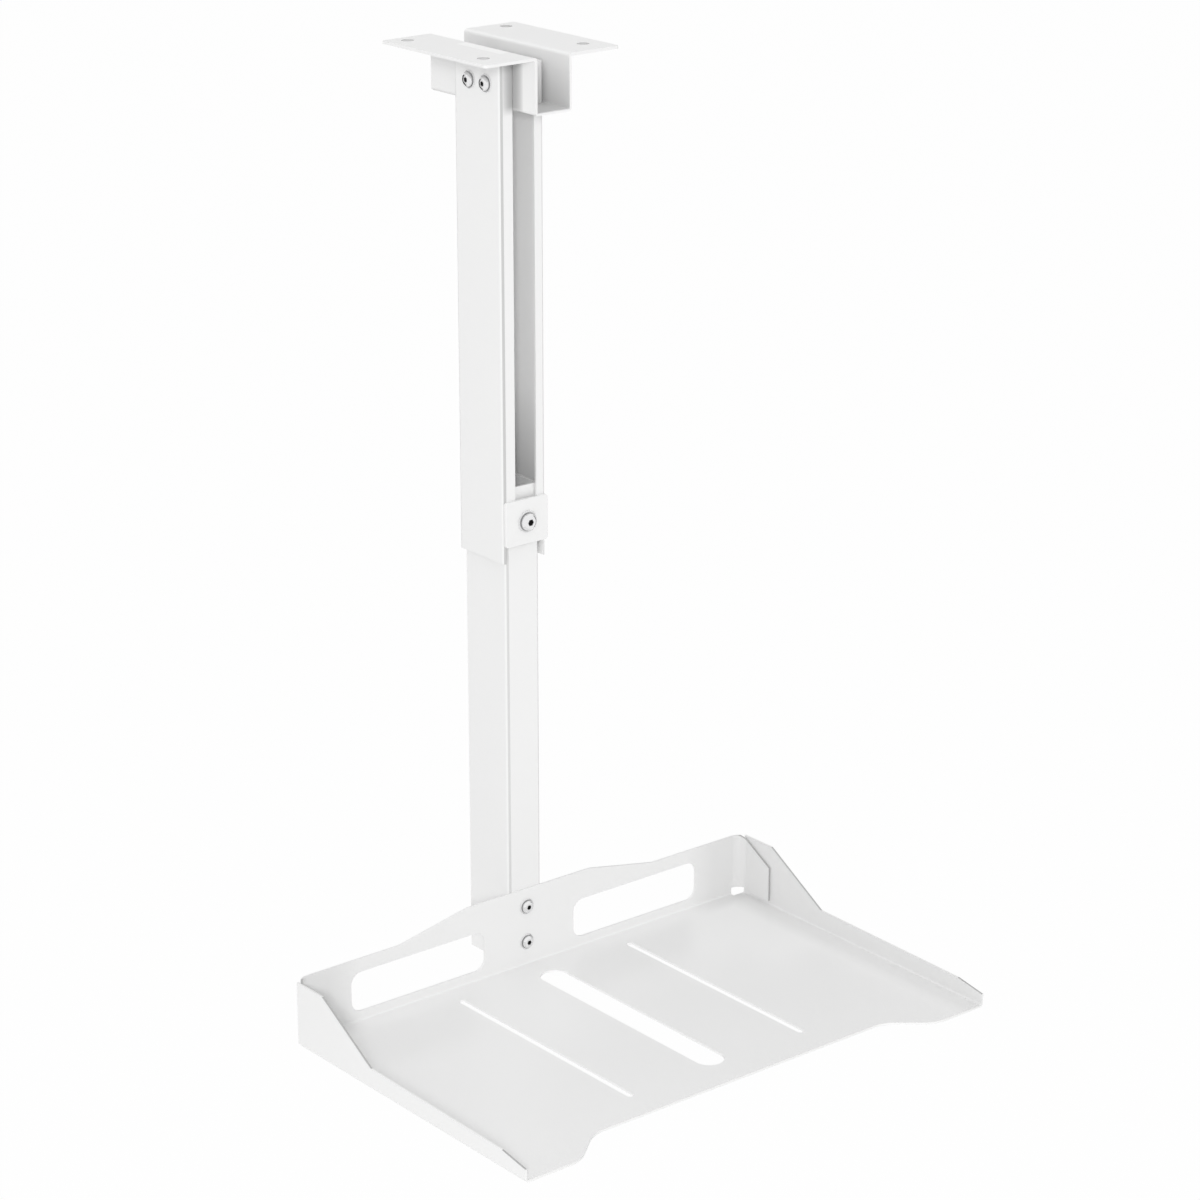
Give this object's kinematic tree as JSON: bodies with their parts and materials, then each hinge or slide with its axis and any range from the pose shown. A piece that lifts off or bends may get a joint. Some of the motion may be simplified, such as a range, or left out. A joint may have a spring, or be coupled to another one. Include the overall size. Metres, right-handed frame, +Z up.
{
  "type": "projector ceiling mount",
  "caption": "Telescopic ceiling mount with a hat-section bracket, nested channel poles, a clamp screw and an open folded tray that carries a projector.",
  "frame": {"origin": "middle of the four ceiling holes, on the ceiling plane that the flanges' top faces lie in", "axes": "+Z up to the ceiling, -Y to the tray's open front edge, +X to the right seen from that front"},
  "size_m": [0.4005, 0.338, 0.65],
  "materials": {
    "white_steel": "satin powder coat",
    "plated_steel": "bright zinc plate"
  },
  "bodies": {
    "hanger": {"ceiling_bracket": "white_steel", "outer_pole": "white_steel", "bracket_bolt_front": "plated_steel", "bracket_bolt_rear": "plated_steel", "bracket_sleeve_front": "plated_steel", "bracket_sleeve_rear": "plated_steel", "bracket_washer_front": "plated_steel", "bracket_washer_rear": "plated_steel", "bracket_nut_front": "plated_steel", "bracket_nut_rear": "plated_steel", "clamp_plate": "white_steel"},
    "clamp": {"clamp_screw": "plated_steel"},
    "drop": {"inner_pole": "white_steel", "tray": "white_steel", "tray_screw_lower": "plated_steel", "tray_screw_upper": "plated_steel", "tray_washer_lower": "plated_steel", "tray_washer_upper": "plated_steel", "tray_nut_lower": "plated_steel", "tray_nut_upper": "plated_steel"}
  },
  "joints": [
    {"name": "height_slide", "type": "slide", "parent": "hanger", "child": "drop", "axis": [0, 0, 1], "range_m": [0, 0.22]},
    {"name": "clamp_turn", "type": "hinge", "parent": "hanger", "child": "clamp", "pos_m": [-0.0074, -0.04, -0.319], "axis": [0, -1, 0], "range_deg": [0, 360]}
  ]
}
